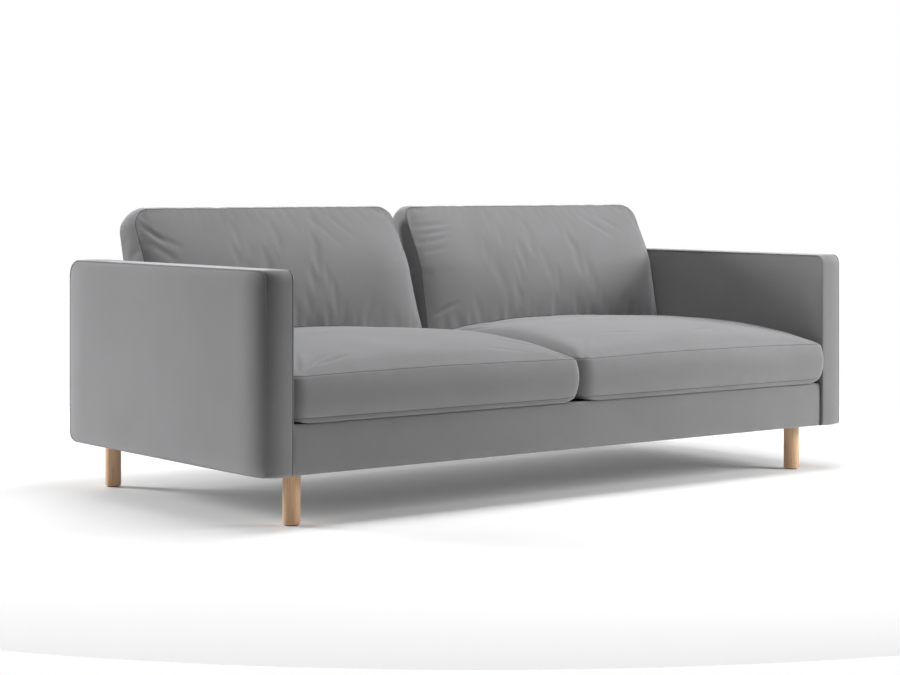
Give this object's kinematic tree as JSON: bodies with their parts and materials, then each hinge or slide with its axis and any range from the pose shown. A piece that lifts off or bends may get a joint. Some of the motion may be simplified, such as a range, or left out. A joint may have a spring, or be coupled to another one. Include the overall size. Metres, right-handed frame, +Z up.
{
  "type": "sofa",
  "caption": "Low upholstered sofa with thin slab arms, loose box seat and back cushions in grey cloth, and short round wooden legs.",
  "frame": {"origin": "on the floor under the middle of the sofa: centre of the box's bottom face", "axes": "+X to the right of a person facing the sofa, along its width; -Y to the front; +Z up"},
  "size_m": [2.04, 1.02, 0.7886],
  "materials": {
    "leg_oak": "clear satin lacquer over light oak, grain along the leg",
    "glide_plastic": "moulded",
    "zinc_steel": "zinc plated",
    "spring_steel": "oiled wire",
    "cushion_cloth": "short-pile mid-grey velour",
    "frame_cloth": "short-pile mid-grey velour",
    "cushion_foam": "open-cell foam wrapped in wadding",
    "padding_foam": "open-cell foam and wadding",
    "dust_cloth": "spun-bonded cloth",
    "webbing": "woven elastic",
    "hardboard": "smooth board",
    "plywood": "raw birch plywood",
    "frame_pine": "planed softwood"
  },
  "bodies": {
    "sofa_frame": {"arm_back_post_left": "frame_pine", "arm_back_post_right": "frame_pine", "arm_bolts": "zinc_steel", "arm_bottom_rail_left": "frame_pine", "arm_bottom_rail_right": "frame_pine", "arm_cover_left": "frame_cloth", "arm_cover_right": "frame_cloth", "arm_front_post_left": "frame_pine", "arm_front_post_right": "frame_pine", "arm_inner_panel_left": "hardboard", "arm_inner_panel_right": "hardboard", "arm_nuts": "zinc_steel", "arm_outer_panel_left": "hardboard", "arm_outer_panel_right": "hardboard", "arm_padding_left": "padding_foam", "arm_padding_right": "padding_foam", "arm_top_rail_left": "frame_pine", "arm_top_rail_right": "frame_pine", "arm_washers": "zinc_steel", "back_bottom_rail": "frame_pine", "back_cover": "frame_cloth", "back_padding": "padding_foam", "back_panel": "hardboard", "back_rib_centre": "plywood", "back_rib_left": "plywood", "back_rib_right": "plywood", "back_top_rail": "plywood", "back_webbing": "webbing", "corner_blocks": "frame_pine", "deck_pad": "padding_foam", "dust_cover": "dust_cloth", "front_rail_cover": "frame_cloth", "front_rail_padding": "padding_foam", "leg_back_left": "leg_oak", "leg_back_right": "leg_oak", "leg_bolts": "zinc_steel", "leg_front_left": "leg_oak", "leg_front_right": "leg_oak", "leg_glides": "glide_plastic", "leg_nuts": "zinc_steel", "seat_rail_back": "frame_pine", "seat_rail_centre": "frame_pine", "seat_rail_front": "frame_pine", "seat_rail_left": "frame_pine", "seat_rail_right": "frame_pine", "seat_springs": "spring_steel", "spring_clips": "zinc_steel"},
    "seat_cushion_left": {"seat_cushion_core_left": "cushion_foam", "seat_cushion_cover_left": "cushion_cloth"},
    "seat_cushion_right": {"seat_cushion_core_right": "cushion_foam", "seat_cushion_cover_right": "cushion_cloth"},
    "back_cushion_left": {"back_cushion_core_left": "cushion_foam", "back_cushion_cover_left": "cushion_cloth"},
    "back_cushion_right": {"back_cushion_core_right": "cushion_foam", "back_cushion_cover_right": "cushion_cloth"}
  },
  "joints": [
    {"name": "seat_cushion_left_pull", "type": "slide", "parent": "sofa_frame", "child": "seat_cushion_left", "axis": [0, -1, 0], "range_m": [0, 0.8]},
    {"name": "seat_cushion_right_pull", "type": "slide", "parent": "sofa_frame", "child": "seat_cushion_right", "axis": [0, -1, 0], "range_m": [0, 0.8]},
    {"name": "back_cushion_left_lift", "type": "slide", "parent": "sofa_frame", "child": "back_cushion_left", "axis": [0, 0, 1], "range_m": [0, 0.36]},
    {"name": "back_cushion_right_lift", "type": "slide", "parent": "sofa_frame", "child": "back_cushion_right", "axis": [0, 0, 1], "range_m": [0, 0.36]}
  ]
}
